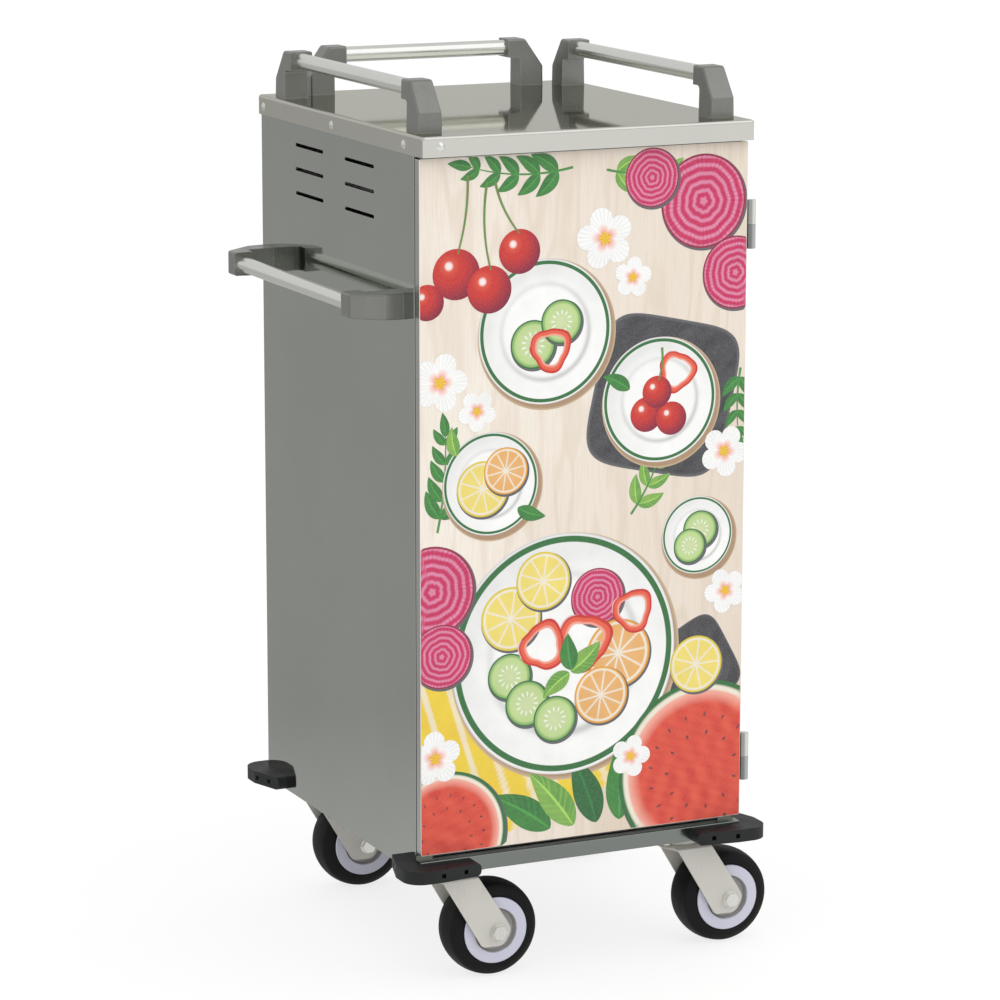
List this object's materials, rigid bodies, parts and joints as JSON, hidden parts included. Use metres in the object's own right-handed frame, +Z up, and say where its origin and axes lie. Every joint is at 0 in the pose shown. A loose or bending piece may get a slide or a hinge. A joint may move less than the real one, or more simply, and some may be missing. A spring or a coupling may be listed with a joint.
{
  "type": "room service tray cart",
  "caption": "Stainless room service tray cart with a printed door, gallery rails on the lid, a side push handle, corner bumpers and swivel castors.",
  "frame": {"origin": "on the floor under the middle of the whole cart, castors included", "axes": "+X to the right as seen from the door side, +Y to the rear, +Z up"},
  "size_m": [0.6188, 0.612, 1.237],
  "materials": {
    "bright_zinc": "bright plated",
    "bumper_rubber": "moulded, matt",
    "cast_brackets": "cast, satin",
    "castor_hub": "smooth pale grey",
    "castor_steel": "pale silver finish",
    "catch_plastic": "moulded",
    "door_print": "printed and clear coated",
    "hinge_steel": "satin",
    "polished_tube": "polished",
    "seal_rubber": "matt",
    "stainless_base": "satin",
    "stainless_door": "satin",
    "stainless_inner": "satin",
    "stainless_lid": "fine satin, low roughness",
    "stainless_panels": "fine satin, nearly mirror",
    "tyre_rubber": "solid rubber, matt"
  },
  "bodies": {
    "cabinet": {"back_panel": "stainless_panels", "back_rivets": "bright_zinc", "bumper_front_left": "bumper_rubber", "bumper_front_right": "bumper_rubber", "bumper_rear_left": "bumper_rubber", "bumper_rear_right": "bumper_rubber", "castor_beam_front": "stainless_base", "castor_beam_rear": "stainless_base", "castor_bolts": "bright_zinc", "castor_front_left_plate": "castor_steel", "castor_front_right_plate": "castor_steel", "castor_rear_left_plate": "castor_steel", "castor_rear_right_plate": "castor_steel", "floor_panel": "stainless_inner", "front_rail": "stainless_base", "gallery_left_brackets": "cast_brackets", "gallery_left_tube": "polished_tube", "gallery_rear_brackets": "cast_brackets", "gallery_rear_tube": "polished_tube", "gallery_right_brackets": "cast_brackets", "gallery_right_tube": "polished_tube", "header_rail": "stainless_inner", "hinge_lower_frame": "hinge_steel", "hinge_upper_frame": "hinge_steel", "lid": "stainless_lid", "lid_rivets": "bright_zinc", "magnetic_catch": "catch_plastic", "push_handle_brackets": "cast_brackets", "push_handle_tube": "polished_tube", "rack_posts_left": "stainless_inner", "rack_posts_right": "stainless_inner", "side_panel_left": "stainless_panels", "side_panel_right": "stainless_panels", "side_rails": "stainless_inner", "tray_runners_left": "stainless_inner", "tray_runners_right": "stainless_inner"},
    "door": {"door_print_skin": "door_print", "door_outer_pan": "stainless_door", "door_inner_pan": "stainless_door", "door_seal": "seal_rubber", "catch_strike": "bright_zinc", "hinge_upper_door": "hinge_steel", "hinge_lower_door": "hinge_steel"},
    "castor_front_left_swivel": {"castor_front_left_fork": "castor_steel", "castor_front_left_axle": "bright_zinc"},
    "castor_front_left_wheel": {"castor_front_left_hub": "castor_hub", "castor_front_left_tyre": "tyre_rubber"},
    "castor_front_right_swivel": {"castor_front_right_fork": "castor_steel", "castor_front_right_axle": "bright_zinc"},
    "castor_front_right_wheel": {"castor_front_right_hub": "castor_hub", "castor_front_right_tyre": "tyre_rubber"},
    "castor_rear_left_swivel": {"castor_rear_left_fork": "castor_steel", "castor_rear_left_axle": "bright_zinc"},
    "castor_rear_left_wheel": {"castor_rear_left_hub": "castor_hub", "castor_rear_left_tyre": "tyre_rubber"},
    "castor_rear_right_swivel": {"castor_rear_right_fork": "castor_steel", "castor_rear_right_axle": "bright_zinc"},
    "castor_rear_right_wheel": {"castor_rear_right_hub": "castor_hub", "castor_rear_right_tyre": "tyre_rubber"}
  },
  "joints": [
    {"name": "door_hinge", "type": "hinge", "parent": "cabinet", "child": "door", "pos_m": [0.2514, -0.268, 0.65], "axis": [0, 0, 1], "range_deg": [0, 270]},
    {"name": "castor_front_left_turn", "type": "hinge", "parent": "cabinet", "child": "castor_front_left_swivel", "pos_m": [-0.1791, -0.216, 0.15], "axis": [0, 0, 1], "continuous": true},
    {"name": "castor_front_left_roll", "type": "hinge", "parent": "castor_front_left_swivel", "child": "castor_front_left_wheel", "pos_m": [-0.1181, -0.216, 0.0675], "axis": [0, 1, 0], "continuous": true},
    {"name": "castor_front_right_turn", "type": "hinge", "parent": "cabinet", "child": "castor_front_right_swivel", "pos_m": [0.1809, -0.216, 0.15], "axis": [0, 0, 1], "continuous": true},
    {"name": "castor_front_right_roll", "type": "hinge", "parent": "castor_front_right_swivel", "child": "castor_front_right_wheel", "pos_m": [0.2419, -0.216, 0.0675], "axis": [0, 1, 0], "continuous": true},
    {"name": "castor_rear_left_turn", "type": "hinge", "parent": "cabinet", "child": "castor_rear_left_swivel", "pos_m": [-0.1791, 0.238, 0.15], "axis": [0, 0, 1], "continuous": true},
    {"name": "castor_rear_left_roll", "type": "hinge", "parent": "castor_rear_left_swivel", "child": "castor_rear_left_wheel", "pos_m": [-0.1181, 0.238, 0.0675], "axis": [0, 1, 0], "continuous": true},
    {"name": "castor_rear_right_turn", "type": "hinge", "parent": "cabinet", "child": "castor_rear_right_swivel", "pos_m": [0.1809, 0.238, 0.15], "axis": [0, 0, 1], "continuous": true},
    {"name": "castor_rear_right_roll", "type": "hinge", "parent": "castor_rear_right_swivel", "child": "castor_rear_right_wheel", "pos_m": [0.2419, 0.238, 0.0675], "axis": [0, 1, 0], "continuous": true}
  ]
}
